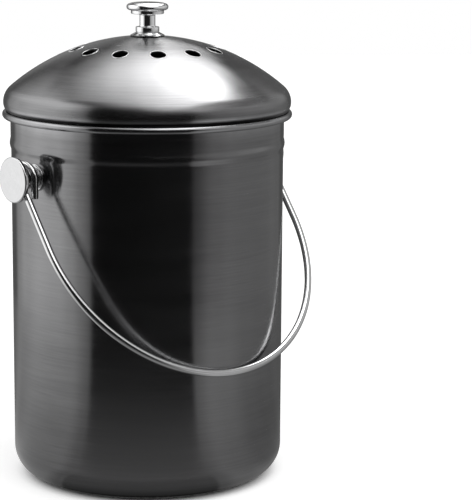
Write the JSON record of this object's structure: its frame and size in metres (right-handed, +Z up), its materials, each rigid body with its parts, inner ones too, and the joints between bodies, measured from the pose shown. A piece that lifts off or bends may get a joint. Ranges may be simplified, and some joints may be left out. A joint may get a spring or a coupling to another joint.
{
  "type": "compost caddy",
  "caption": "Steel counter-top compost caddy with a vented lift-off dome lid, a push-in filter ring and a swinging wire bail on two side studs.",
  "frame": {"origin": "centre of the base's footprint, on the surface it stands on", "axes": "+Z up along the bin's axis; the two side studs lie along X; the bail hangs down on the -Y side"},
  "size_m": [0.205, 0.18, 0.2969],
  "materials": {
    "black_steel": "black-tinted brushed steel, satin",
    "polished_steel": "bright polished",
    "seal_rubber": "matt",
    "felt": "matt fibrous felt",
    "carbon_foam": "matt open foam"
  },
  "bodies": {
    "bin": {"bin_body": "black_steel", "pivot_flange_left": "polished_steel", "pivot_flange_right": "polished_steel", "pivot_stud_left": "polished_steel", "pivot_stud_right": "polished_steel", "pivot_seal_left": "seal_rubber", "pivot_seal_right": "seal_rubber", "pivot_washer_left": "polished_steel", "pivot_washer_right": "polished_steel", "pivot_screw_left": "polished_steel", "pivot_screw_right": "polished_steel"},
    "bail": {"bail_handle": "polished_steel"},
    "lid": {"lid_dome": "black_steel", "lid_plug_pan": "black_steel", "knob_base_cone": "polished_steel", "knob_stem": "polished_steel", "knob_cap": "polished_steel", "knob_washer": "polished_steel", "knob_screw": "polished_steel"},
    "filter": {"filter_retaining_ring": "polished_steel", "filter_felt": "felt", "carbon_filter": "carbon_foam"}
  },
  "joints": [
    {"name": "bail_swing", "type": "hinge", "parent": "bin", "child": "bail", "pos_m": [0, 0, 0.1955], "axis": [-1, 0, 0], "range_deg": [0, 284]},
    {"name": "lid_lift", "type": "slide", "parent": "bin", "child": "lid", "axis": [0, 0, 1], "range_m": [0, 0.06]},
    {"name": "filter_pull", "type": "slide", "parent": "lid", "child": "filter", "axis": [0, 0, -1], "range_m": [0, 0.03]}
  ]
}
